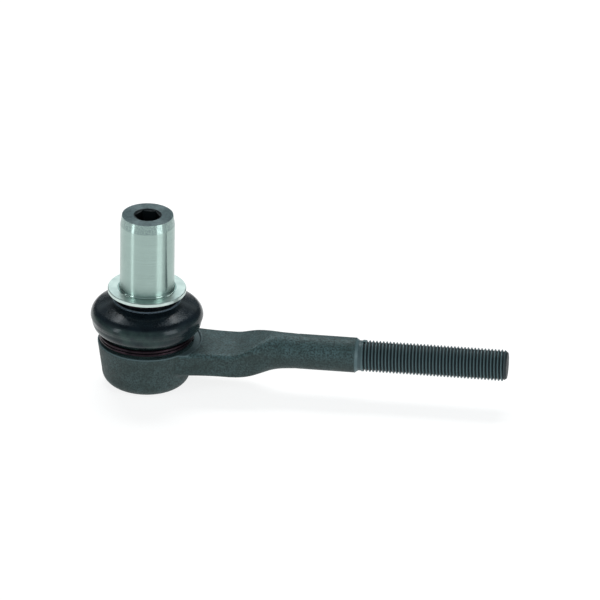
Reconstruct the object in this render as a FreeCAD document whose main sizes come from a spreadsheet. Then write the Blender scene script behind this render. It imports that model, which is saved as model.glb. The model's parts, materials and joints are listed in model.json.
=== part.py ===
import FreeCAD, Part
import math
import os
import Sketcher
from FreeCAD import Vector

# Tie rod end: a ball joint whose stud ends in a plain clamp pin, and whose housing
# is forged in one piece with an arm and a threaded shank.
#
# Frame: +Z along the clamp pin, away from the ball. +X along the threaded shank.
# The origin is on the pin's axis, at the seat face that the knuckle rests on.
# All sizes are in millimetres. Pieces that are worked out from the ball's centre
# are drawn about it, and their Placement lowers them by seat_height.

doc = FreeCAD.newDocument("tie_rod_end")
sheet = doc.addObject("Spreadsheet::Sheet", "dims")

DIMENSIONS = {
    # joint as a whole
    "seat_height": 26.5,        # ball centre up to the seat face
    "ball_dia": 27.0,
    "ball_gap": 0.08,           # running gap between the ball and its bearing
    "overshoot": 1.0,           # how far a cutting outline reaches past the metal
    # clamp pin, above the seat face
    "pin_dia": 24.0,
    "pin_length": 35.4,
    "lead_in_length": 4.2,      # long slim taper at the free end
    "lead_in_dia": 22.6,
    "pin_root_radius": 0.5,
    "relief_bottom": 0.5,       # shallow grinding relief just above the root
    "relief_length": 0.9,
    "relief_depth": 0.25,
    "hex_across_flats": 10.0,
    "hex_depth": 9.0,
    "hex_mouth_dia": 12.2,
    "hex_mouth_depth": 0.7,
    "hex_drill_dia": 9.6,
    "hex_drill_depth": 9.6,     # to the start of the drill's cone
    "hex_drill_cone": 2.6,
    # stud between the seat face and the ball
    "land_dia": 26.0,           # the washer is pressed on this land
    "land_step": 0.1,           # the land stops this far short of the seat face
    "washer_dia": 34.5,
    "washer_thickness": 1.8,
    "washer_edge": 0.25,
    "shoulder_dia": 28.2,
    "shoulder_thickness": 1.0,
    "lip_seat_dia": 21.0,       # the boot's upper lip turns on this cylinder
    "lip_seat_length": 4.4,
    "stud_bead_dia": 23.0,
    "stud_bead_length": 0.8,
    "neck_dia": 15.2,
    "neck_top": 13.0,           # above the ball centre
    "ball_flat_angle": -65.7,   # latitude of the flat under the ball
    # housing, from the ball centre
    "bore_dia": 30.8,
    "bore_cone_bottom": 2.4,
    "bore_cone_top": 3.6,
    "mouth_dia": 28.8,
    "mouth_chamfer": 0.8,
    "collar_top": 7.4,          # collar that the boot is clamped on
    "collar_dia": 34.7,
    "collar_bead_dia": 36.4,
    "collar_bead_bottom": 5.8,
    "collar_edge": 0.4,         # chamfers of the collar and of the shoulder
    "housing_shoulder": 0.9,
    "housing_top_dia": 43.1,
    "housing_low_dia": 39.1,
    "housing_bottom": -19.3,
    "housing_edge_radius": 6.2,
    "cover_seat_height": -14.4,
    "cover_seat_dia": 32.0,
    "rim_top": -16.8,           # rim rolled in under the cover plate
    "rim_dia": 26.4,
    "rim_taper": 0.6,
    "recess_dia": 47.2,         # turned spot face that cuts into the arm
    "recess_flare": 0.9,
    # forged arm and shank, from the rod axis
    "arm_top": 1.5,
    "arm_bottom": -9.4,
    "arm_half_width": 13.1,
    "arm_root_half_width": 15.8,
    "arm_root_start": 4.0,      # buried in the cup
    "arm_end": 38.2,
    "arm_edge_radius": 2.0,
    "root_fillet": 2.6,         # forging fillet where the arm leaves the cup
    "shank_radius": 7.7,
    "shank_swell": 0.25,        # extra height where the shank leaves the bar
    "shank_start": 67.9,
    "shank_end": 93.0,
    # thread M14 x 1.5
    "thread_dia": 13.94,
    "thread_root_dia": 12.16,
    "thread_pitch": 1.5,
    "thread_start": 95.9,
    "blank_dia": 13.3,          # rolled thread blank, bare before the first turn
    "blank_start": 94.4,
    "rod_length": 160.0,
    "tip_chamfer": 1.6,
    "tip_dia": 11.4,
    # bearing shell, pressure seat, spring and cover
    "shell_gap": 0.04,          # assembly gap of the sealed pieces to each other
    "shell_top": 5.2,
    "shell_bottom": -2.0,
    "seat_top": -2.9,
    "seat_bottom": -13.2,
    "seat_hole_dia": 12.0,
    "spring_thickness": 0.6,
    "spring_inner_dia": 15.0,
    "spring_outer_dia": 29.6,
    "cover_dish_dia": 16.0,
    "cover_dish_depth": 0.8,
    # boot and its two clamp rings
    "boot_gap": 0.1,
    "boot_wall": 1.7,
    "crown_radius": 4.9,        # outside radius of the folds
    "crown_centre_radius": 19.9,
    "crown_centre_height": 13.2,
    "belly_centre_radius": 19.2,
    "belly_centre_height": 10.9,
    "crown_edge_dia": 29.4,
    "crown_edge_height": 20.9,
    "lip_ring_dia": 25.2,       # outside of the upper lip, under its ring
    "lip_ring_bottom": 21.3,
    "base_ring_dia": 39.0,      # outside of the lower lip, under its ring
    "base_ring_bottom": 1.2,
    "base_ring_top": 5.54,
    "lower_wire_dia": 1.4,
    "upper_wire_dia": 0.7,
    "wire_turns": 2.0,
}
for row, (alias, size) in enumerate(DIMENSIONS.items(), start=1):
    sheet.set("A%d" % row, alias)
    sheet.set("B%d" % row, str(size))
    sheet.setAlias("B%d" % row, alias)
doc.recompute()

ORIGIN_POINT = (-1, 1)


def named(formula):
    """Turn the sheet's aliases in a formula into references to the sheet."""
    words = []
    word = ""
    for letter in str(formula) + " ":
        if letter.isalnum() or letter in "_.":
            word += letter
            continue
        words.append("dims." + word if word in DIMENSIONS else word)
        words.append(letter)
        word = ""
    return "".join(words).strip()


def number(formula):
    """Value that a formula has now."""
    return float(sheet.evalExpression(named(formula)))


def new_body(name, height=None):
    """Body with the node's name, lowered to the ball centre unless told otherwise."""
    body = doc.addObject("PartDesign::Body", name)
    body.Label = name
    body.setExpression("Placement.Base.z", named(height or "-seat_height"))
    return body


def new_sketch(body, name, role, offset=None):
    """Sketch on one of the body's own origin planes, shifted along its normal."""
    sketch = body.newObject("Sketcher::SketchObject", name)
    plane = [item for item in body.Origin.OriginFeatures if item.Role == role][0]
    sketch.AttachmentSupport = [(plane, "")]
    sketch.MapMode = "FlatFace"
    if offset is not None:
        sketch.setExpression("AttachmentOffset.Base.z", named(offset))
    return sketch


def pin_coordinate(sketch, edge, end, axis, formula):
    """Hold one coordinate of an edge's end at a formula of the sheet."""
    target = number(formula)
    if abs(target) < 1e-9:
        across = -2 if axis == "x" else -1
        sketch.addConstraint(Sketcher.Constraint("PointOnObject", edge, end, across))
        return
    kind = "DistanceX" if axis == "x" else "DistanceY"
    index = sketch.addConstraint(
        Sketcher.Constraint(kind, *ORIGIN_POINT, edge, end, target))
    sketch.setExpression("Constraints[%d]" % index, named(formula))


def draw_outline(sketch, corners, arcs=None):
    """Closed outline through corners, each an (x, y) pair of formulas.

    arcs gives the edges that are round: {corner number: (centre x, centre y, turn)},
    where turn is "left" or "right" and the edge starts at that corner.
    """
    arcs = arcs or {}
    points = [Vector(number(x), number(y), 0) for x, y in corners]
    count = len(points)
    ends = {}
    for i in range(count):
        start = points[i]
        finish = points[(i + 1) % count]
        if i not in arcs:
            sketch.addGeometry(Part.LineSegment(start, finish), False)
            ends[i] = (1, 2)
            continue
        centre_x, centre_y, turn = arcs[i]
        centre = Vector(number(centre_x), number(centre_y), 0)
        radius = (start - centre).Length
        circle = Part.Circle(centre, Vector(0, 0, 1), radius)
        first, last = (start, finish) if turn == "left" else (finish, start)
        arc = Part.ArcOfCircle(circle, circle.parameter(first), circle.parameter(last))
        sketch.addGeometry(arc, False)
        ends[i] = (1, 2) if turn == "left" else (2, 1)
    for i in range(count):
        following = (i + 1) % count
        sketch.addConstraint(Sketcher.Constraint(
            "Coincident", i, ends[i][1], following, ends[following][0]))
    for i, (x, y) in enumerate(corners):
        # an arc's far end already lies on its circle, so one coordinate places it
        before = (i - 1) % count
        needed = "xy"
        if before in arcs:
            reach = points[i] - Vector(number(arcs[before][0]), number(arcs[before][1]), 0)
            needed = "x" if abs(reach.y) > abs(reach.x) else "y"
        for axis, formula in (("x", x), ("y", y)):
            if axis in needed:
                pin_coordinate(sketch, i, ends[i][0], axis, formula)
    for i, (centre_x, centre_y, turn) in arcs.items():
        pin_coordinate(sketch, i, 3, "x", centre_x)
        pin_coordinate(sketch, i, 3, "y", centre_y)


def draw_rounded_box(sketch, half_width, bottom, top, radius):
    """Rectangle with four equal round corners, centred left to right."""
    w, low, high, r = (number(item) for item in (half_width, bottom, top, radius))
    sides = [
        (Vector(-w + r, low, 0), Vector(w - r, low, 0)),
        (Vector(w, low + r, 0), Vector(w, high - r, 0)),
        (Vector(w - r, high, 0), Vector(-w + r, high, 0)),
        (Vector(-w, high - r, 0), Vector(-w, low + r, 0)),
    ]
    centres = [(w - r, low + r), (w - r, high - r), (-w + r, high - r), (-w + r, low + r)]
    for quarter, (side, centre) in enumerate(zip(sides, centres)):
        sketch.addGeometry(Part.LineSegment(*side), False)
        circle = Part.Circle(Vector(centre[0], centre[1], 0), Vector(0, 0, 1), r)
        begin = math.radians(90 * quarter - 90)
        finish = math.radians(90 * quarter)
        sketch.addGeometry(Part.ArcOfCircle(circle, begin, finish), False)
    for edge in range(8):
        sketch.addConstraint(Sketcher.Constraint("Tangent", edge, 2, (edge + 1) % 8, 1))
    for edge, direction in ((0, "Horizontal"), (2, "Vertical"),
                            (4, "Horizontal"), (6, "Vertical")):
        sketch.addConstraint(Sketcher.Constraint(direction, edge))
    for edge in (3, 5, 7):
        sketch.addConstraint(Sketcher.Constraint("Equal", 1, edge))
    index = sketch.addConstraint(Sketcher.Constraint("Radius", 1, r))
    sketch.setExpression("Constraints[%d]" % index, named(radius))
    pin_coordinate(sketch, 0, 1, "y", bottom)
    pin_coordinate(sketch, 2, 1, "x", half_width)
    pin_coordinate(sketch, 4, 1, "y", top)
    pin_coordinate(sketch, 6, 1, "x", "-(%s)" % half_width)


def turn_profile(body, kind, name, corners, arcs=None, axis="V_Axis"):
    """Revolution or Groove of an outline drawn in the body's XZ plane."""
    sketch = new_sketch(body, name + "_profile", "XZ_Plane")
    draw_outline(sketch, corners, arcs)
    feature = body.newObject("PartDesign::" + kind, name)
    feature.Profile = sketch
    feature.ReferenceAxis = (sketch, [axis])
    feature.Angle = 360
    doc.recompute()
    return feature


def eased(along, first, last):
    """Smooth step from 0 at first to 1 at last."""
    share = min(max((along - first) / (last - first), 0.0), 1.0)
    return share * share * (3 - 2 * share)


def loft_sections(body, name, stations):
    """Smooth loft along X through rounded boxes: (x, half width, bottom, top, radius)."""
    sections = []
    for i, (place, *box) in enumerate(stations, start=1):
        sketch = new_sketch(body, "%s_section_%d" % (name, i), "YZ_Plane", place)
        draw_rounded_box(sketch, *box)
        sections.append(sketch)
    doc.recompute()
    loft = body.newObject("PartDesign::AdditiveLoft", name)
    loft.Profile = sections[0]
    loft.Sections = sections[1:]
    doc.recompute()
    return loft


def cut_ball(body, name, radius):
    """Hollow out a ball about the body's origin."""
    sphere = body.newObject("PartDesign::SubtractiveSphere", name)
    sphere.setExpression("Radius", named(radius))
    doc.recompute()
    return sphere


def wrap_wire(body, name, coil_radius, first_turn, wire):
    """Close-wound coil of round wire about Z, made by a helix of its section."""
    sketch = new_sketch(body, name + "_section", "XZ_Plane")
    centre = Vector(number(coil_radius), number(first_turn), 0)
    sketch.addGeometry(Part.Circle(centre, Vector(0, 0, 1), number(wire) / 2), False)
    pin_coordinate(sketch, 0, 3, "x", coil_radius)
    pin_coordinate(sketch, 0, 3, "y", first_turn)
    index = sketch.addConstraint(Sketcher.Constraint("Diameter", 0, number(wire)))
    sketch.setExpression("Constraints[%d]" % index, named(wire))
    coil = body.newObject("PartDesign::AdditiveHelix", name)
    coil.Profile = sketch
    coil.ReferenceAxis = (sketch, ["V_Axis"])
    coil.Mode = "pitch-turns-angle"
    coil.setExpression("Pitch", named("%s + shell_gap" % wire))
    coil.setExpression("Turns", named("wire_turns"))
    doc.recompute()
    return coil


def make_ball_stud():
    """Ball, neck, lip seat, washer land and clamp pin, turned in one piece."""
    body = new_body("ball_stud", "0")
    below_washer = "-washer_thickness"
    below_shoulder = "-washer_thickness - shoulder_thickness"
    lip_bottom = "-washer_thickness - shoulder_thickness - lip_seat_length"
    bead_bottom = lip_bottom + " - stud_bead_length"
    turn_profile(body, "Revolution", "turned_stud", [
        ("0", "-seat_height"),
        ("neck_dia / 2", "-seat_height"),
        ("neck_dia / 2", "neck_top - seat_height"),
        ("stud_bead_dia / 2", bead_bottom),
        ("stud_bead_dia / 2", lip_bottom),
        ("lip_seat_dia / 2", lip_bottom),
        ("lip_seat_dia / 2", below_shoulder),
        ("shoulder_dia / 2", below_shoulder),
        ("shoulder_dia / 2", below_washer),
        ("land_dia / 2", below_washer),
        ("land_dia / 2", "-land_step"),
        ("pin_dia / 2 + pin_root_radius", "-land_step"),
        ("pin_dia / 2", "pin_root_radius - land_step"),
        ("pin_dia / 2", "relief_bottom"),
        ("pin_dia / 2 - relief_depth", "relief_bottom + relief_depth"),
        ("pin_dia / 2 - relief_depth", "relief_bottom + relief_length - relief_depth"),
        ("pin_dia / 2", "relief_bottom + relief_length"),
        ("pin_dia / 2", "pin_length - lead_in_length"),
        ("lead_in_dia / 2", "pin_length"),
        ("0", "pin_length"),
    ], {11: ("pin_dia / 2 + pin_root_radius", "pin_root_radius - land_step", "right")})

    ball = body.newObject("PartDesign::AdditiveSphere", "ball")
    ball.setExpression("Radius", named("ball_dia / 2"))
    ball.setExpression("Angle1", named("ball_flat_angle"))
    ball.setExpression("Placement.Base.z", named("-seat_height"))
    doc.recompute()

    socket_sketch = new_sketch(body, "hex_outline", "XY_Plane", "pin_length")
    corner = "hex_across_flats / 2 / cos(30)"
    draw_outline(socket_sketch, [
        ("%s * cos(%d)" % (corner, 60 * i), "%s * sin(%d)" % (corner, 60 * i))
        for i in range(6)])
    socket = body.newObject("PartDesign::Pocket", "hex_socket")
    socket.Profile = socket_sketch
    socket.setExpression("Length", named("hex_depth"))
    doc.recompute()

    # drill point under the hexagon and the countersink at its mouth
    turn_profile(body, "Groove", "hex_drill_point", [
        ("0", "pin_length - hex_depth + overshoot"),
        ("hex_drill_dia / 2", "pin_length - hex_depth + overshoot"),
        ("hex_drill_dia / 2", "pin_length - hex_drill_depth"),
        ("0", "pin_length - hex_drill_depth - hex_drill_cone"),
    ])
    turn_profile(body, "Groove", "hex_countersink", [
        ("0", "pin_length + overshoot"),
        ("hex_mouth_dia / 2 + overshoot", "pin_length + overshoot"),
        ("hex_mouth_dia / 2 - hex_mouth_depth", "pin_length - hex_mouth_depth"),
        ("0", "pin_length - hex_mouth_depth"),
    ])
    return body


def make_seat_washer():
    """Flat washer pressed on the stud's land: the face that the knuckle seats on."""
    body = new_body("seat_washer", "0")
    turn_profile(body, "Revolution", "washer_ring", [
        ("land_dia / 2", "-washer_thickness"),
        ("washer_dia / 2 - washer_edge", "-washer_thickness"),
        ("washer_dia / 2", "-washer_thickness + washer_edge"),
        ("washer_dia / 2", "-washer_edge"),
        ("washer_dia / 2 - washer_edge", "0"),
        ("land_dia / 2", "0"),
    ])
    return body


def make_housing():
    """Forging: cup around the ball, flat-topped arm, round shank and thread."""
    body = new_body("housing")

    # cup, closed for now, with its drafted side and the collar for the boot
    edge_centre_x = "housing_low_dia / 2 - housing_edge_radius"
    edge_centre_y = "housing_bottom + housing_edge_radius"
    turn_profile(body, "Revolution", "cup", [
        ("0", "housing_bottom"),
        (edge_centre_x, "housing_bottom"),
        ("housing_low_dia / 2", edge_centre_y),
        ("housing_top_dia / 2", "housing_shoulder - collar_edge"),
        ("housing_top_dia / 2 - collar_edge", "housing_shoulder"),
        ("collar_dia / 2", "housing_shoulder"),
        ("collar_dia / 2", "collar_bead_bottom"),
        ("collar_bead_dia / 2", "collar_bead_bottom"),
        ("collar_bead_dia / 2", "collar_top - collar_edge"),
        ("collar_bead_dia / 2 - collar_edge", "collar_top"),
        ("0", "collar_top"),
    ], {1: (edge_centre_x, edge_centre_y, "left")})

    # the arm leaves the cup as a flat bar, a little wider at its root
    flat_bar = ("arm_bottom", "arm_top", "arm_edge_radius")
    bar_steps = 5
    bar = []
    for i in range(bar_steps + 1):
        along = i / bar_steps
        extra = "%.5f * (arm_root_half_width - arm_half_width)" % (1 - eased(along, 0.0, 0.85))
        place = "arm_root_start + %.5f * (arm_end - arm_root_start)" % along
        bar.append((place, "arm_half_width + " + extra, *flat_bar))
    arm = loft_sections(body, "arm", bar)
    fillet_arm_root(body, arm)

    # the spot face clears the arm around the collar, down to the shoulder
    turn_profile(body, "Groove", "spot_face", [
        ("collar_dia / 2", "housing_shoulder"),
        ("recess_dia / 2", "housing_shoulder"),
        ("recess_dia / 2 + recess_flare", "arm_top + overshoot"),
        ("collar_dia / 2", "arm_top + overshoot"),
    ])

    # then its width, top, underside and edges each ease into the round shank
    blend_steps = 10
    blend = []
    for i in range(blend_steps + 1):
        along = i / blend_steps
        narrowing = eased(along, 0.0, 0.75)
        rise = eased(along, 0.0, 0.68)
        settle = eased(along, 0.6, 0.95)
        lift = eased(along, 0.34, 1.0)
        rounding = eased(along, 0.2, 0.68)
        blend.append((
            "arm_end + %.5f * (shank_start - arm_end)" % along,
            "arm_half_width + %.5f * (shank_radius - arm_half_width)" % narrowing,
            "arm_bottom + %.5f * (-shank_radius - arm_bottom)" % lift,
            "arm_top + %.5f * (shank_radius + shank_swell - arm_top)"
            " - %.5f * shank_swell" % (rise, settle),
            "arm_edge_radius + %.5f * (shank_radius - 0.04 - arm_edge_radius)" % rounding,
        ))
    loft_sections(body, "arm_to_shank", blend)

    shank_sketch = new_sketch(body, "shank_section", "YZ_Plane", "shank_start")
    draw_rounded_box(shank_sketch, *blend[-1][1:])
    shank = body.newObject("PartDesign::Pad", "shank")
    shank.Profile = shank_sketch
    shank.setExpression("Length", named("shank_end - shank_start"))
    doc.recompute()

    # thread blank: machined step, bare neck, crest cylinder and pointed end
    turn_profile(body, "Revolution", "thread_blank", [
        ("shank_end - 2", "0"),
        ("shank_end - 2", "shank_radius - 0.6"),
        ("shank_end", "shank_radius - 0.15"),
        ("blank_start", "blank_dia / 2"),
        ("thread_start - 0.4", "blank_dia / 2"),
        ("thread_start", "thread_dia / 2"),
        ("rod_length - tip_chamfer", "thread_dia / 2"),
        ("rod_length", "tip_dia / 2"),
        ("rod_length", "0"),
    ], axis="H_Axis")

    # ball socket, mouth, seat for the cover plate and the rolled rim's opening
    turn_profile(body, "Groove", "socket", [
        ("0", "collar_top + overshoot"),
        ("mouth_dia / 2 + mouth_chamfer", "collar_top + overshoot"),
        ("mouth_dia / 2 + mouth_chamfer", "collar_top"),
        ("mouth_dia / 2", "collar_top - mouth_chamfer"),
        ("mouth_dia / 2", "bore_cone_top"),
        ("bore_dia / 2", "bore_cone_bottom"),
        ("bore_dia / 2", "cover_seat_height"),
        ("cover_seat_dia / 2", "cover_seat_height"),
        ("cover_seat_dia / 2", "rim_top"),
        ("rim_dia / 2", "rim_top - rim_taper"),
        ("rim_dia / 2 - rim_taper", "housing_bottom - overshoot"),
        ("0", "housing_bottom - overshoot"),
    ])
    cut_thread(body)
    return body


def fillet_arm_root(body, arm):
    """Round the edges in which the arm's sides and underside meet the cup's wall."""
    edges = []
    for index, edge in enumerate(arm.Shape.Edges, start=1):
        middle = edge.valueAt((edge.FirstParameter + edge.LastParameter) / 2)
        reach = math.hypot(middle.x, middle.y)
        on_wall = number("housing_low_dia / 2") < reach < number("housing_top_dia / 2")
        if on_wall and edge.Curve.TypeId == "Part::GeomBSplineCurve":
            edges.append("Edge%d" % index)
    fillet = body.newObject("PartDesign::Fillet", "arm_root_fillet")
    fillet.Base = (arm, edges)
    fillet.setExpression("Radius", named("root_fillet"))
    doc.recompute()


def cut_thread(body):
    """Right-hand 60 degree thread, cut as one helical groove from the tip inwards."""
    sketch = new_sketch(body, "thread_groove_section", "XZ_Plane")
    root = "thread_root_dia / 2"
    outside = "thread_dia / 2 + 0.15"
    half_root = "thread_pitch / 12"
    half_mouth = "thread_pitch / 12 + (%s - %s) * tan(30)" % (outside, root)
    first = "thread_start + thread_pitch / 2"
    draw_outline(sketch, [
        ("%s - %s" % (first, half_root), root),
        ("%s + %s" % (first, half_root), root),
        ("%s + %s" % (first, half_mouth), outside),
        ("%s - (%s)" % (first, half_mouth), outside),
    ])
    groove = body.newObject("PartDesign::SubtractiveHelix", "thread_groove")
    groove.Profile = sketch
    groove.ReferenceAxis = (sketch, ["H_Axis"])
    groove.Mode = "pitch-height-angle"
    groove.setExpression("Pitch", named("thread_pitch"))
    groove.setExpression("Height", named("rod_length - thread_start + thread_pitch"))
    doc.recompute()


def make_bearing_shell():
    """Plastic upper race: carries the ball and holds it down in the housing."""
    body = new_body("bearing_shell")
    turn_profile(body, "Revolution", "race", [
        ("0", "shell_bottom"),
        ("bore_dia / 2 - shell_gap", "shell_bottom"),
        ("bore_dia / 2 - shell_gap", "bore_cone_bottom - shell_gap"),
        ("mouth_dia / 2 - shell_gap", "bore_cone_top - shell_gap"),
        ("mouth_dia / 2 - shell_gap", "shell_top"),
        ("0", "shell_top"),
    ])
    cut_ball(body, "ball_hollow", "ball_dia / 2 + ball_gap")
    return body


def make_pressure_seat():
    """Plastic cup that the spring pushes up against the ball."""
    body = new_body("pressure_seat")
    turn_profile(body, "Revolution", "seat_blank", [
        ("seat_hole_dia / 2", "seat_bottom"),
        ("bore_dia / 2 - 0.1", "seat_bottom"),
        ("bore_dia / 2 - 0.1", "seat_top"),
        ("seat_hole_dia / 2", "seat_top"),
    ])
    cut_ball(body, "ball_hollow_low", "ball_dia / 2 + ball_gap")
    return body


def make_disc_spring():
    """Coned disc spring between the pressure seat and the cover plate."""
    body = new_body("disc_spring")
    low = "cover_seat_height - shell_gap + 0.06"
    high = "seat_bottom - 0.02"
    turn_profile(body, "Revolution", "spring_cone", [
        ("spring_outer_dia / 2 - spring_thickness", low),
        ("spring_outer_dia / 2", low),
        ("spring_outer_dia / 2", "%s + spring_thickness" % low),
        ("spring_inner_dia / 2 + spring_thickness", high),
        ("spring_inner_dia / 2", high),
        ("spring_inner_dia / 2", "%s - spring_thickness" % high),
    ])
    return body


def make_cover_plate():
    """Dished steel disc that closes the housing from below."""
    body = new_body("cover_plate")
    top = "cover_seat_height - shell_gap"
    bottom = "rim_top + shell_gap"
    turn_profile(body, "Revolution", "plate", [
        ("0", top),
        ("cover_seat_dia / 2 - shell_gap", top),
        ("cover_seat_dia / 2 - shell_gap", bottom),
        ("cover_dish_dia / 2 + cover_dish_depth", bottom),
        ("cover_dish_dia / 2", "%s + cover_dish_depth" % bottom),
        ("0", "%s + cover_dish_depth" % bottom),
    ])
    return body


def make_boot():
    """Rubber boot: upper lip on the stud, two soft folds, lower lip on the collar."""
    body = new_body("boot")
    inner = "(crown_radius - boot_wall)"
    lip_top = "seat_height - washer_thickness - shoulder_thickness - boot_gap"
    lip_bottom = "seat_height - washer_thickness - shoulder_thickness - lip_seat_length + 0.1"
    base_bottom = "housing_shoulder + boot_gap"
    corners = [
        ("collar_dia / 2 + boot_gap", base_bottom),
        ("base_ring_dia / 2", base_bottom),
        ("base_ring_dia / 2", "base_ring_top"),
        ("belly_centre_radius + crown_radius * cos(60)",
         "belly_centre_height - crown_radius * sin(60)"),
        ("belly_centre_radius + crown_radius", "belly_centre_height"),
        ("crown_centre_radius + crown_radius", "crown_centre_height"),
        ("crown_centre_radius + crown_radius * cos(65)",
         "crown_centre_height + crown_radius * sin(65)"),
        ("crown_edge_dia / 2", "crown_edge_height"),
        ("crown_edge_dia / 2 - 0.4", "lip_ring_bottom"),
        ("lip_ring_dia / 2", "lip_ring_bottom"),
        ("lip_ring_dia / 2", lip_top),
        ("lip_seat_dia / 2 + boot_gap", lip_top),
        ("lip_seat_dia / 2 + boot_gap", lip_bottom),
        ("lip_ring_dia / 2 - 0.2", lip_bottom),
        ("crown_centre_radius + %s * cos(65)" % inner,
         "crown_centre_height + %s * sin(65)" % inner),
        ("crown_centre_radius + " + inner, "crown_centre_height"),
        ("belly_centre_radius + " + inner, "belly_centre_height"),
        ("belly_centre_radius - %s * cos(75)" % inner,
         "belly_centre_height - %s * sin(75)" % inner),
        ("collar_bead_dia / 2 + 0.3", "collar_bead_bottom + 0.7"),
        ("collar_bead_dia / 2 + 0.3", "collar_bead_bottom - boot_gap"),
        ("collar_dia / 2 + boot_gap", "collar_bead_bottom - boot_gap"),
    ]
    turn_profile(body, "Revolution", "bellows", corners, {
        3: ("belly_centre_radius", "belly_centre_height", "left"),
        5: ("crown_centre_radius", "crown_centre_height", "left"),
        14: ("crown_centre_radius", "crown_centre_height", "right"),
        16: ("belly_centre_radius", "belly_centre_height", "right"),
    })
    return body


def make_lower_clamp_ring():
    """Wire ring that holds the boot's lower lip on the housing's collar."""
    body = new_body("lower_clamp_ring")
    wrap_wire(body, "lower_coil", "base_ring_dia / 2 + lower_wire_dia / 2 + 0.05",
              "base_ring_bottom + lower_wire_dia / 2", "lower_wire_dia")
    return body


def make_upper_clamp_ring():
    """Finer wire ring around the boot's upper lip, under the washer."""
    body = new_body("upper_clamp_ring")
    wrap_wire(body, "upper_coil", "lip_ring_dia / 2 + upper_wire_dia / 2 + 0.05",
              "lip_ring_bottom + upper_wire_dia / 2 + 0.05", "upper_wire_dia")
    return body


def check_model():
    """Stop if any feature failed, so that no broken piece is ever written."""
    doc.recompute()
    for item in doc.Objects:
        if "Invalid" in item.State or "Error" in item.State:
            raise RuntimeError("%s failed: %s" % (item.Name, item.State))


def write_pieces(bodies):
    """Write each piece as parts/NODE.step, in the part's own frame."""
    os.makedirs("parts", exist_ok=True)
    for body in bodies:
        if body.Shape.isNull() or not body.Shape.isValid():
            raise RuntimeError(body.Label + " has no valid shape")
        if len(body.Shape.Solids) != 1:
            raise RuntimeError(body.Label + " is not one solid")
    for body in bodies:
        body.Shape.exportStep("parts/%s.step" % body.Label)
        print("%-18s volume %10.1f mm3  faces %d" % (
            body.Label, body.Shape.Volume, len(body.Shape.Faces)))


pieces = [
    make_ball_stud(),
    make_seat_washer(),
    make_bearing_shell(),
    make_pressure_seat(),
    make_disc_spring(),
    make_cover_plate(),
    make_boot(),
    make_lower_clamp_ring(),
    make_upper_clamp_ring(),
    make_housing(),
]
check_model()
write_pieces(pieces)
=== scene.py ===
import json
import math

import bmesh
import bpy
from mathutils import Matrix, Vector


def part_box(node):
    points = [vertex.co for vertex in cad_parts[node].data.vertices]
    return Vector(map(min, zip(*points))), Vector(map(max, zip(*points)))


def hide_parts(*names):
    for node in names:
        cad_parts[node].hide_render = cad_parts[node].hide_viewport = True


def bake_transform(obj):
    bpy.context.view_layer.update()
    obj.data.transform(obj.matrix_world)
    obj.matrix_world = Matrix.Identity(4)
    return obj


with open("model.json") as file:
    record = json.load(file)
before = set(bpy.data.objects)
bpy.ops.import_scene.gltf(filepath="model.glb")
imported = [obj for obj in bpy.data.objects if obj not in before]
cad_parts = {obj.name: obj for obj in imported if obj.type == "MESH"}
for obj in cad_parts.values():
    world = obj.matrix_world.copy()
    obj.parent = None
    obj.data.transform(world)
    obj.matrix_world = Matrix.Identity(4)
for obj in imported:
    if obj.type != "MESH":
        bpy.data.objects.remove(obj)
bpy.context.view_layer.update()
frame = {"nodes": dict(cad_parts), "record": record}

# The frame is the CAD's: metres, +Z along the clamp pin, +X along the threaded shank,
# and the origin where the knuckle seats. Lengths below are named in millimetres where
# that reads better, and MM turns them into metres.
MM = 0.001
MICRON = 0.000001

# heights that the frame gives; the rod's axis runs through the ball's centre
ROD_AXIS = frame["record"]["behaviour"]["joints"][0]["pos_m"][2]
PIN_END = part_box("ball_stud")[1].z
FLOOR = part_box("housing")[0].z

# the camera's view, and what stands at the middle of its frame; angles in degrees
VIEW_AZIMUTH = 7.0
VIEW_ELEVATION = 27.0
VIEW_ROLL = 0.8
VIEW_WIDTH = 263.4 * MM
VIEW_CENTRE = Vector((67.8 * MM, 0.0, -1.3 * MM))
LENS = 1000.0
SENSOR = 36.0

# the table's side, and how brightly it and the parts of the room shine
TABLE_SIDE = 8.0
TABLE_GLOW = 0.82
CEILING_GLOW = 0.12
WALL_GLOW = 0.6
LOW_WALL_GLOW = 0.15
BACKDROP_GLOW = 1.25
ROOM_TINT = (0.84, 0.97, 1.0, 1.0)

# where the room's zones begin and are full, as the cosine of a direction's angle to
# straight down, to the camera's side or to the side behind the object
CEILING_EDGE = (-0.85, -0.65)
SCREEN_TOP = (-0.62, -0.50)
SCREEN_FOOT = (-0.44, -0.30)
FRONT_WALLS = (-0.4, 0.2)
SCREEN_SIDES = (0.7, 0.92)

# soft boxes: degrees round from the camera, elevation, distance, width, height, glow
SOFT_BOXES = {
    "left_box": (-62, 14, 1.0, 0.18, 0.6, 5.5),
    "right_box": (52, 14, 1.0, 0.42, 0.6, 4.0),
    "back_box": (180, 56, 1.2, 1.0, 0.4, 9.0),
}

# the mesh attribute that keeps a boot point's height at rest, in millimetres
REST_HEIGHT = "rest_height"


def srgb(red, green, blue):
    """Linear colour of a screen colour given as 0 to 255."""
    return [((c / 255 + 0.055) / 1.055) ** 2.4 if c > 10 else c / 255 / 12.92
            for c in (red, green, blue)] + [1.0]


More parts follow.
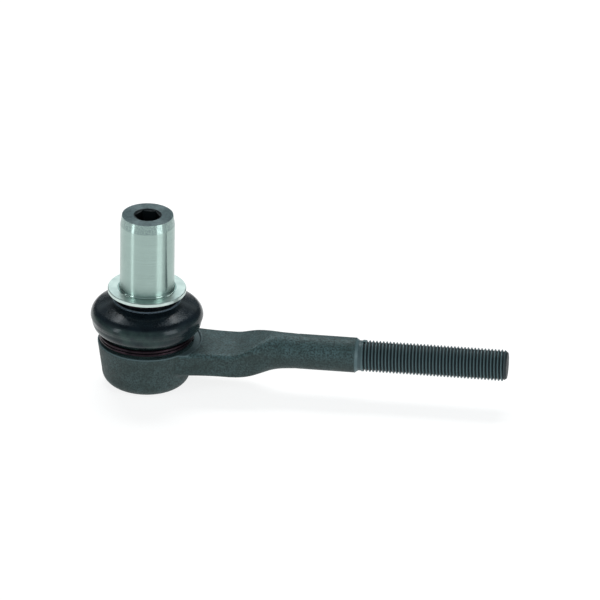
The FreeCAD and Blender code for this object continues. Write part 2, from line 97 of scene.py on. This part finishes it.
class Finish:
    """A material under construction: its methods add nodes and return an output."""

    def __init__(self, name):
        self.material = bpy.data.materials.new(name)
        self.material.use_nodes = True
        self.tree = self.material.node_tree
        self.surface = self.tree.nodes["Principled BSDF"]
        coordinates = self.tree.nodes.new("ShaderNodeTexCoord")
        self.place = coordinates.outputs["Object"]
        self.facing = coordinates.outputs["Normal"]

    def feed(self, socket, value):
        """Link a node's output to the socket, or set the socket to a plain value."""
        if isinstance(value, bpy.types.NodeSocket):
            self.tree.links.new(value, socket)
        else:
            socket.default_value = value

    def add(self, kind, values, output=0, **settings):
        """One node of that kind, with its sockets fed and its settings made."""
        node = self.tree.nodes.new("ShaderNode" + kind)
        for name, value in settings.items():
            setattr(node, name, value)
        for socket, value in values.items():
            self.feed(node.inputs[socket], value)
        return node.outputs[output]

    def set(self, **values):
        """Set the surface's own sockets: base_color=..., roughness=... and so on."""
        names = {socket.name.lower().replace(" ", "_"): socket
                 for socket in self.surface.inputs}
        for name, value in values.items():
            self.feed(names[name], value)

    def axes(self, vector=None):
        """The x, y and z of a vector, or of the place on the surface."""
        node = self.tree.nodes.new("ShaderNodeSeparateXYZ")
        self.feed(node.inputs[0], vector or self.place)
        return node.outputs[0], node.outputs[1], node.outputs[2]

    def maths(self, operation, first, second=0.0):
        """One sum, product or the like of two values."""
        return self.add("Math", {0: first, 1: second}, operation=operation)

    def times(self, first, second):
        """Product of two values, which for two masks is where both apply."""
        return self.maths("MULTIPLY", first, second)

    def distance(self, first, second):
        """How far from an axis: the root of the sum of two squares."""
        squares = self.maths("ADD", self.times(first, first), self.times(second, second))
        return self.maths("SQRT", squares)

    def step(self, value, low, high, start=0.0, end=1.0):
        """Smooth step of a value, from start at low to end at high."""
        return self.add("MapRange", {"Value": value, "From Min": low, "From Max": high,
                                     "To Min": start, "To Max": end},
                        interpolation_type="SMOOTHSTEP")

    def band(self, value, rise, fall):
        """Mask that rises over one (from, to) pair of the value and falls over another."""
        return self.times(self.step(value, *rise), self.step(value, *fall, 1.0, 0.0))

    def noise(self, size, detail=2.0, stretch=(1, 1, 1), seed=0.0, low=0.0, high=1.0):
        """Cloudy noise with features of that size in metres, stretched along the axes."""
        scaled = self.add("Mapping", {"Vector": self.place,
                                      "Location": (seed, seed, seed),
                                      "Scale": [1 / (size * s) for s in stretch]})
        cloud = self.add("TexNoise", {"Vector": scaled, "Scale": 1.0, "Detail": detail})
        return self.step(cloud, 0.3, 0.7, low, high)

    def mix(self, share, first, second):
        """Blend of two colours, from the first at 0 to the second at 1."""
        return self.add("Mix", {"Factor": share, 6: first, 7: second}, output=2,
                        data_type="RGBA")

    def between(self, share, first, second):
        """The same blend for two numbers."""
        return self.add("Mix", {"Factor": share, 2: first, 3: second})

    def bump(self, height, depth, normal=None):
        """Surface normal with relief of that depth in metres, over another normal."""
        values = {"Height": height, "Distance": depth, "Strength": 1.0}
        if normal:
            values["Normal"] = normal
        return self.add("Bump", values)


def forged_steel():
    """Phosphated forging: dark green grey, grainy where forged, smoother where cut."""
    skin = Finish("forged_steel_phosphated")
    along, across, up = skin.axes()
    height = skin.maths("SUBTRACT", up, ROD_AXIS)
    rod_radius = skin.distance(across, height)
    pin_radius = skin.distance(along, across)
    shank_end = (92.7 * MM, 93.3 * MM)
    spot_face_edge = (23.6 * MM, 24.2 * MM)
    spot_face_height = (0.3 * MM, 0.6 * MM)
    threaded = skin.step(along, *shank_end)
    spot_face = skin.times(skin.step(height, *spot_face_height),
                           skin.step(pin_radius, *spot_face_edge, 1.0, 0.0))
    cut = skin.maths("MAXIMUM", threaded, spot_face)
    forged = skin.maths("SUBTRACT", 1.0, cut)

    patches = skin.noise(7 * MM, 5.0)
    speckle = skin.noise(0.75 * MM, 4.0, seed=4.0)
    # up-facing faces get a lighter colour and the sides a darker one: painted light from above
    painted_top_light = skin.step(skin.axes(skin.facing)[2], -0.1, 0.5)
    shaded_sides = skin.mix(patches, srgb(48, 63, 62), srgb(60, 78, 79))
    lit_tops = skin.mix(patches, srgb(60, 81, 82), srgb(73, 97, 100))
    colour = skin.mix(painted_top_light, shaded_sides, lit_tops)
    colour = skin.mix(skin.times(speckle, 0.9), colour, srgb(33, 44, 44))

    # the ring round the cup's top edge gets a painted highlight, and the thread's crests are
    # worn smoother
    rim_height = (0.35 * MM, 0.6 * MM)
    rim_inside, rim_outside = (20.9 * MM, 21.1 * MM), (24.4 * MM, 24.8 * MM)
    # painted highlight: a lighter band where the edge catches light
    rim_highlight = skin.times(skin.step(height, *rim_height),
                     skin.band(pin_radius, rim_inside, rim_outside))
    colour = skin.mix(skin.times(rim_highlight, 0.6), colour, srgb(104, 122, 126))
    root_to_crest = (6.2 * MM, 6.95 * MM)
    crest = skin.step(rod_radius, *root_to_crest)
    worn_crest = skin.times(skin.times(crest, threaded),
                            skin.noise(3 * MM, 3.0, seed=7.0, low=0.3, high=0.9))
    # thread roots painted darker as shade in the grooves; crests lighter, partly wear and partly
    # a painted highlight
    thread_shade_and_wear = skin.mix(crest, srgb(30, 40, 43), srgb(78, 98, 102))
    colour = skin.mix(threaded, colour, thread_shade_and_wear)

    # forged edges are soft; cut ones are left as they are
    soft = skin.add("Bevel", {"Radius": skin.times(forged, 1.0 * MM)}, samples=6)
    dents = skin.noise(4 * MM, 2.0, seed=2.0)
    grain = skin.noise(0.35 * MM, 4.0, seed=9.0)
    normal = skin.bump(skin.times(dents, forged), 60 * MICRON, soft)
    normal = skin.bump(skin.times(grain, forged), 22 * MICRON, normal)
    lathe = skin.add("TexWave", {"Vector": skin.place, "Scale": 900.0, "Distortion": 0.6,
                                 "Detail": 2.0},
                     wave_type="RINGS", rings_direction="Z", output=1)
    normal = skin.bump(skin.times(lathe, spot_face), 6 * MICRON, normal)
    roughness = skin.noise(2.5 * MM, 4.0, seed=3.0, low=0.52, high=0.64)
    roughness = skin.between(worn_crest, roughness, 0.36)
    skin.set(base_color=colour, metallic=0.15, roughness=roughness,
             specular_ior_level=0.25, normal=normal)
    return skin.material


def ground_steel():
    """Turned and ground stud: bright pin, dark end face and socket."""
    skin = Finish("ground_steel")
    along, across, up = skin.axes()
    radius = skin.distance(along, across)
    facing_up = skin.axes(skin.facing)[2]
    end_face = skin.times(skin.step(facing_up, 0.5, 0.9),
                          skin.step(up, PIN_END - 1.5 * MM, PIN_END - 1.2 * MM))
    socket_edge = (6.1 * MM, 6.3 * MM)
    below_socket = (20 * MM, 21 * MM)
    in_socket = skin.times(skin.step(radius, *socket_edge, 1.0, 0.0),
                           skin.step(up, *below_socket))
    dark = skin.maths("MAXIMUM", end_face, in_socket)

    lines = skin.noise(0.2 * MM, 2.0, stretch=(400, 400, 1))
    stains = skin.noise(9 * MM, 3.0, seed=5.0)
    bright = skin.mix(lines, srgb(155, 176, 170), srgb(169, 190, 184))
    bright = skin.mix(skin.times(stains, 0.3), bright, srgb(150, 170, 165))
    lead_in = skin.step(up, PIN_END - 4.5 * MM, PIN_END - 4.0 * MM)
    scuffs = skin.noise(0.7 * MM, 3.0, seed=12.0, low=0.0, high=0.7)
    bright = skin.mix(skin.times(lead_in, scuffs), bright, srgb(132, 150, 149))
    end_tone_and_socket_shade = skin.mix(skin.noise(1.2 * MM, 4.0, seed=6.0), srgb(76, 92, 95), srgb(94, 112, 115))
    # inside the socket the colour is darkened: painted shade in the recess
    end_tone_and_socket_shade = skin.mix(in_socket, end_tone_and_socket_shade, srgb(36, 43, 46))
    colour = skin.mix(dark, bright, end_tone_and_socket_shade)
    roughness = skin.noise(6 * MM, 2.0, seed=8.0, low=0.24, high=0.26)
    roughness = skin.between(dark, roughness, 0.6)
    normal = skin.bump(lines, 0.3 * MICRON)
    tangent = skin.add("Tangent", {}, direction_type="RADIAL", axis="Z")
    metallic = skin.between(end_face, 1.0, 0.3)
    skin.set(base_color=colour, metallic=metallic, roughness=roughness, normal=normal,
             anisotropic=1.0, anisotropic_rotation=0.25, tangent=tangent)
    return skin.material


def washer_steel():
    """Bright plated washer with faint turning rings."""
    skin = Finish("washer_steel")
    along, across = skin.axes()[:2]
    radius = skin.distance(along, across)
    rings = skin.add("TexNoise", {"W": skin.times(radius, 2500.0), "Scale": 1.0,
                                  "Detail": 2.0}, noise_dimensions="1D")
    haze = skin.noise(3 * MM, 4.0, seed=1.0)
    colour = skin.mix(haze, srgb(188, 205, 200), srgb(202, 218, 213))
    roughness = skin.noise(4 * MM, 2.0, seed=2.0, low=0.30, high=0.36)
    skin.set(base_color=colour, metallic=1.0, roughness=roughness,
             normal=skin.bump(rings, 0.8 * MICRON))
    return skin.material


def plain_metal(name, dark, light, roughness):
    """Small steel part: two tones in soft patches over a fine grain."""
    skin = Finish(name)
    patches = skin.noise(3 * MM, 4.0)
    grain = skin.noise(0.25 * MM, 3.0, seed=3.0)
    skin.set(base_color=skin.mix(patches, dark, light), metallic=0.9,
             roughness=skin.noise(1.2 * MM, 3.0, seed=5.0, low=roughness - 0.02,
                                  high=roughness + 0.02),
             normal=skin.bump(grain, 5 * MICRON))
    return skin.material


def bearing_plastic():
    """Natural acetal resin, with a waxy sheen."""
    skin = Finish("bearing_plastic")
    cloud = skin.noise(4 * MM, 3.0)
    grain = skin.noise(0.3 * MM, 2.0, seed=2.0)
    skin.set(base_color=skin.mix(cloud, srgb(214, 210, 196), srgb(228, 225, 214)),
             roughness=skin.noise(2 * MM, 2.0, seed=4.0, low=0.34, high=0.44),
             normal=skin.bump(grain, 3 * MICRON))
    return skin.material


# The boot: outline sizes in millimetres, heights from the ball's centre.
BOOT = {
    "wall": 1.7,
    "fold": 4.9,                # outside radius of each fold
    "crown": (19.9, 13.2),      # centre of the upper fold's section
    "belly": (19.2, 10.9),
    "crown_turn": 65,           # where the crown's arc ends and its cone begins
    "seam": 12.05,              # height of the mould line, between the folds
    "seam_ridge": 0.05,         # at the mould line the skin stands out, below it goes in
    "seam_reach": 0.15,         # half the height of that small step
    "crown_edge": (14.7, 20.9),
    "lip": (10.6, 12.6),        # bore and outside of the upper lip
    "lip_heights": (19.7, 21.3, 23.6),
    "lip_mouth": (11.3, 20.6),  # the bore opens out to this radius below this height
    "base": (17.45, 19.5),      # bore and outside of the lower lip
    "base_heights": (1.0, 5.54),
    "bead": (18.5, 5.7, 6.5),   # hollow for the collar's bead: radius, from, to
    "reflection_top": (15.4, 16.8),   # the painted reflection of the table on the lower fold fades out between these
    "lip_highlight": ((20.72, 20.84), (20.95, 21.1)),    # painted highlight along the crown's edge: fades in, fades out
}
# unevenness of the boot, as waves round it: depth in millimetres, waves per turn, phase
SLACK_WAVES = ((0.10, 3, 0.7), (0.06, 5, 2.0))
TURNS = 192
SHARP_TURN = 40                 # degrees of turn from which an outline's corner is sharp


def boot_rubber():
    """Moulded black rubber: half gloss, finely grained, with a thin bloom on it; the lower fold
    carries a painted reflection of the table and the crown's edge a painted highlight line.
    """
    skin = Finish("boot_rubber")
    along = skin.axes()[0]
    # each point's height at rest, so that the tones stay on the rubber when it tilts
    height = skin.add("Attribute", {}, output=2, attribute_name=REST_HEIGHT)
    bloom = skin.noise(8 * MM, 5.0)
    rubber_tone = skin.mix(bloom, srgb(9, 15, 20), srgb(19, 28, 35))
    table_reflection_tone = skin.mix(bloom, srgb(22, 36, 36), srgb(44, 61, 57))
    # below these heights, more to the left and front, the colour is lighter: painted reflection
    # of the table
    underside = skin.times(skin.step(height, *BOOT["reflection_top"], 1.0, 0.0),
                           skin.noise(5 * MM, 3.0, seed=11.0, low=0.15, high=1.0))
    underside = skin.times(underside, skin.step(along, 4 * MM, 17 * MM, 1.0, 0.4))
    colour = skin.mix(underside, rubber_tone, table_reflection_tone)
    # thin pale line at the crown's edge: a painted highlight
    colour = skin.mix(skin.band(height, *BOOT["lip_highlight"]), colour, srgb(104, 118, 130))
    grain = skin.noise(0.22 * MM, 3.0, seed=3.0)
    ripple = skin.noise(5 * MM, 2.0, seed=6.0)
    normal = skin.bump(ripple, 30 * MICRON)
    normal = skin.bump(grain, 3 * MICRON, normal)
    skin.set(base_color=colour,
             roughness=skin.noise(3 * MM, 4.0, seed=8.0, low=0.22, high=0.30),
             specular_ior_level=0.15, specular_tint=srgb(190, 225, 240),
             coat_weight=0.26, coat_roughness=0.16,
             normal=normal)
    return skin.material


def floor_paint():
    """Pale backlit studio table. Its underside is clear, so it never hides the object."""
    skin = Finish("pale_floor")
    cloud = skin.noise(0.2, 3.0)
    skin.set(base_color=skin.mix(cloud, [0.27, 0.27, 0.27, 1], [0.29, 0.29, 0.29, 1]),
             roughness=0.9, specular_ior_level=0.0,
             emission_color=[1.0, 1.0, 1.0, 1.0], emission_strength=TABLE_GLOW)
    under = skin.tree.nodes.new("ShaderNodeNewGeometry").outputs["Backfacing"]
    clear = skin.add("BsdfTransparent", {})
    shown = skin.add("MixShader", {0: under, 1: skin.surface.outputs[0], 2: clear})
    skin.feed(skin.tree.nodes["Material Output"].inputs["Surface"], shown)
    return skin.material


def finish_cad_nodes():
    """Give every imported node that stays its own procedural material."""
    plastic = bearing_plastic()
    wire = plain_metal("ring_wire", srgb(22, 16, 22), srgb(44, 32, 38), 0.34)
    materials = {
        "housing": forged_steel(),
        "ball_stud": ground_steel(),
        "seat_washer": washer_steel(),
        "bearing_shell": plastic,
        "pressure_seat": plastic,
        "disc_spring": plain_metal("spring_steel", srgb(70, 74, 84), srgb(104, 106, 112), 0.3),
        "cover_plate": plain_metal("cover_steel", srgb(108, 120, 118), srgb(115, 128, 125), 0.5),
        "lower_clamp_ring": wire,
        "upper_clamp_ring": wire,
    }
    for node, material in materials.items():
        slots = frame["nodes"][node].data.materials
        slots.clear()
        slots.append(material)


def arc(centre, radius, first, last, steps):
    """Points of an arc in the (radius, height) plane, angles in degrees."""
    points = []
    for i in range(steps + 1):
        turn = math.radians(first + (last - first) * i / steps)
        points.append((centre[0] + radius * math.cos(turn),
                       centre[1] + radius * math.sin(turn)))
    return points


def run(first, last, steps):
    """Points of a straight run, without its last one."""
    return [(first[0] + (last[0] - first[0]) * i / steps,
             first[1] + (last[1] - first[1]) * i / steps) for i in range(steps)]


def boot_waist():
    """Outside radius at the mould line, on the straight run between the two folds."""
    (crown, high), (belly, low) = BOOT["crown"], BOOT["belly"]
    share = (BOOT["seam"] - low) / (high - low)
    return belly + (crown - belly) * share + BOOT["fold"]


def upper_boot_outline():
    """From the mould line up over the crown to the lip, and back down the inside.

    The crown's edge and the lip have rounds, steps and chamfers of 0.15 to 0.5 mm.
    """
    crown, wall, fold = BOOT["crown"], BOOT["wall"], BOOT["fold"]
    seam, ridge, reach = BOOT["seam"], BOOT["seam_ridge"], BOOT["seam_reach"]
    bore, lip = BOOT["lip"]
    lip_bottom, ring_bottom, lip_top = BOOT["lip_heights"]
    mouth, mouth_top = BOOT["lip_mouth"]
    edge = BOOT["crown_edge"]
    waist = boot_waist()
    outline = [(waist + ridge, seam)]
    outline += run((waist + ridge, seam + reach), (crown[0] + fold, crown[1]), 4)
    outline += arc(crown, fold, 0, BOOT["crown_turn"], 20)
    outline += run(outline[-1], edge, 9)[1:]
    outline += arc((edge[0], edge[1] - 0.35), 0.35, 90, 180, 4)
    outline += [(edge[0] - 0.5, ring_bottom), (lip + 0.15, ring_bottom)]
    outline += [(lip, ring_bottom + 0.15), (lip, lip_top - 0.2), (lip - 0.2, lip_top)]
    outline += [(bore + 0.3, lip_top), (bore, lip_top - 0.3)]
    outline += [(bore, mouth_top), (mouth, lip_bottom)]
    inside = arc(crown, fold - wall, BOOT["crown_turn"], 0, 16)
    outline += run((lip - 0.2, lip_bottom), inside[0], 9)
    outline += inside
    outline += [(waist - wall, seam)]
    return outline


def lower_boot_outline():
    """From the lower lip's bore out, up the belly to the mould line, and back inside.

    The lower lip has chamfers of 0.15 and 0.2 mm.
    """
    belly, wall, fold = BOOT["belly"], BOOT["wall"], BOOT["fold"]
    seam, ridge, reach = BOOT["seam"], BOOT["seam_ridge"], BOOT["seam_reach"]
    bore, base = BOOT["base"]
    bottom, top = BOOT["base_heights"]
    hollow, hollow_low, hollow_high = BOOT["bead"]
    waist = boot_waist()
    outline = [(bore, bottom)]
    outline += [(base - 0.2, bottom), (base, bottom + 0.2), (base, top - 0.15)]
    outline += [(base + 0.15, top)]
    outline += arc(belly, fold, -60, 0, 18)
    below_seam = (waist - ridge, seam - reach)
    outline += run(outline[-1], below_seam, 3)[1:]
    outline += [below_seam, (waist + ridge, seam), (waist - wall, seam)]
    outline += arc(belly, fold - wall, 0, -75, 16)
    outline += [(hollow, hollow_high), (hollow, hollow_low), (bore, hollow_low)]
    return outline


def boot_slack(height, turn):
    """Soft unevenness of the grease-filled boot in millimetres, none at its clamped lips."""
    low, high = BOOT["base_heights"][1] + 1.0, BOOT["crown_edge"][1] - 0.4
    share = min(max((height - low) / (high - low), 0.0), 1.0)
    free = math.sin(math.pi * share)
    return free * sum(depth * math.sin(waves * turn + phase)
                      for depth, waves, phase in SLACK_WAVES)


def turned_boot_piece(name, outline):
    """Closed ring of the outline about Z, with sharp edges where the outline turns."""
    mesh = bpy.data.meshes.new(name)
    maker = bmesh.new()
    rest_height = maker.verts.layers.float.new(REST_HEIGHT)
    rings = []
    for radius, height in outline:
        ring = []
        for i in range(TURNS):
            turn = 2 * math.pi * i / TURNS
            reach = radius + boot_slack(height, turn)
            point = maker.verts.new((
                reach * MM * math.cos(turn),
                reach * MM * math.sin(turn),
                ROD_AXIS + height * MM))
            point[rest_height] = height
            ring.append(point)
        rings.append(ring)
    count = len(rings)
    for i, ring in enumerate(rings):
        following = rings[(i + 1) % count]
        for j in range(TURNS):
            k = (j + 1) % TURNS
            maker.faces.new((ring[j], ring[k], following[k], following[j])).smooth = True
    for i, ring in enumerate(rings):
        before, here, after = (Vector(outline[n % count]) for n in (i - 1, i, i + 1))
        corner = (here - before).angle(after - here)
        if corner > math.radians(SHARP_TURN):
            for j in range(TURNS):
                maker.edges.get((ring[j], ring[(j + 1) % TURNS])).smooth = False
    bmesh.ops.recalc_face_normals(maker, faces=maker.faces)
    maker.to_mesh(mesh)
    maker.free()
    piece = bpy.data.objects.new(name, mesh)
    bpy.context.scene.collection.objects.link(piece)
    return piece


def make_boot(rubber):
    """Two rubber pieces that meet at the mould line."""

    lower = turned_boot_piece("boot_lower_fold", lower_boot_outline())
    upper = turned_boot_piece("boot_upper_fold", upper_boot_outline())
    for piece in (lower, upper):
        piece.data.materials.append(rubber)
        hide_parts("boot")
    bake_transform(lower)
    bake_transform(upper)


def around(azimuth, elevation, distance):
    """Point seen from the origin in that direction: azimuth 0 is -Y, 90 is +X."""
    a, e = math.radians(azimuth), math.radians(elevation)
    return Vector((distance * math.sin(a) * math.cos(e),
                   -distance * math.cos(a) * math.cos(e),
                   distance * math.sin(e)))


def aim(thing, target):
    """Turn a light or camera so that it looks at the target."""
    away = Vector(thing.location) - Vector(target)
    thing.rotation_mode = "QUATERNION"
    thing.rotation_quaternion = away.to_track_quat("Z", "Y")


def soft_box(name, azimuth, elevation, distance, width, height, glow):
    """Rectangular studio light of an even glow that faces the origin."""
    light = bpy.data.lights.new(name, "AREA")
    light.shape = "RECTANGLE"
    light.size = width
    light.size_y = height
    light.energy = glow * math.pi * width * height
    lamp = bpy.data.objects.new(name, light)
    bpy.context.scene.collection.objects.link(lamp)
    lamp.location = around(azimuth, elevation, distance)
    aim(lamp, (0, 0, 0))
    lamp.visible_camera = False


def flat_sheet(name, width, depth, material):
    """Plain rectangle, centred, in the XY plane."""
    mesh = bpy.data.meshes.new(name)
    w, d = width / 2, depth / 2
    mesh.from_pydata([(-w, -d, 0), (w, -d, 0), (w, d, 0), (-w, d, 0)], [], [(0, 1, 2, 3)])
    mesh.materials.append(material)
    sheet = bpy.data.objects.new(name, mesh)
    bpy.context.scene.collection.objects.link(sheet)
    return sheet


def make_room():
    """Dim room with lit walls in front and a bright band of backdrop behind the table."""
    world = bpy.data.worlds.new("dim_room")
    bpy.context.scene.world = world
    world.use_nodes = True
    tree = world.node_tree
    direction = tree.nodes.new("ShaderNodeTexCoord").outputs["Generated"]

    def share(heading, none, full):
        """Smooth step of how far a direction leans to the heading, from 0 to 1."""
        lean = tree.nodes.new("ShaderNodeVectorMath")
        lean.operation = "DOT_PRODUCT"
        lean.inputs[1].default_value = heading
        tree.links.new(direction, lean.inputs[0])
        step = tree.nodes.new("ShaderNodeMapRange")
        step.interpolation_type = "SMOOTHSTEP"
        step.inputs["From Min"].default_value = none
        step.inputs["From Max"].default_value = full
        tree.links.new(lean.outputs["Value"], step.inputs["Value"])
        return step.outputs["Result"]

    def scale(share_of_way, start, end):
        """From start to end along a share, where each may be a number or an output."""
        step = tree.nodes.new("ShaderNodeMapRange")
        tree.links.new(share_of_way, step.inputs["Value"])
        for socket, value in (("To Min", start), ("To Max", end)):
            if isinstance(value, float):
                step.inputs[socket].default_value = value
            else:
                tree.links.new(value, step.inputs[socket])
        return step.outputs["Result"]

    down = Vector((0, 0, -1))
    in_front = share(around(VIEW_AZIMUTH, 0, 1.0), *FRONT_WALLS)
    behind = share(around(VIEW_AZIMUTH + 180, 0, 1.0), *SCREEN_SIDES)
    walls = scale(share(down, *CEILING_EDGE), CEILING_GLOW, WALL_GLOW)
    walls = scale(in_front, CEILING_GLOW, walls)
    screen = scale(share(down, *SCREEN_TOP), walls, BACKDROP_GLOW)
    screen = scale(share(down, *SCREEN_FOOT), screen, LOW_WALL_GLOW)
    strength = scale(behind, walls, screen)
    backdrop = tree.nodes["Background"]
    backdrop.inputs["Color"].default_value = ROOM_TINT
    tree.links.new(strength, backdrop.inputs["Strength"])


def make_studio():
    """Pale table, soft boxes to the left and right, and a broad light from behind."""
    floor = flat_sheet("floor", TABLE_SIDE, TABLE_SIDE, floor_paint())
    floor.location.z = FLOOR
    for name, (turn, elevation, distance, width, height, glow) in SOFT_BOXES.items():
        soft_box(name, VIEW_AZIMUTH + turn, elevation, distance, width, height, glow)
    make_room()


def make_camera():
    """Long lens from slightly right of the front, well above the table."""
    camera = bpy.data.cameras.new("camera")
    camera.lens = LENS
    camera.sensor_width = SENSOR
    distance = VIEW_WIDTH * LENS / SENSOR
    camera.clip_start = distance / 100
    camera.clip_end = distance * 100
    viewer = bpy.data.objects.new("camera", camera)
    bpy.context.scene.collection.objects.link(viewer)
    viewer.location = VIEW_CENTRE + around(VIEW_AZIMUTH, VIEW_ELEVATION, distance)
    aim(viewer, VIEW_CENTRE)
    roll = Matrix.Rotation(math.radians(VIEW_ROLL), 3, "Z").to_quaternion()
    viewer.rotation_quaternion = viewer.rotation_quaternion @ roll
    bpy.context.scene.camera = viewer


finish_cad_nodes()
make_boot(boot_rubber())
make_studio()
make_camera()
bpy.context.scene.view_settings.view_transform = "Standard"
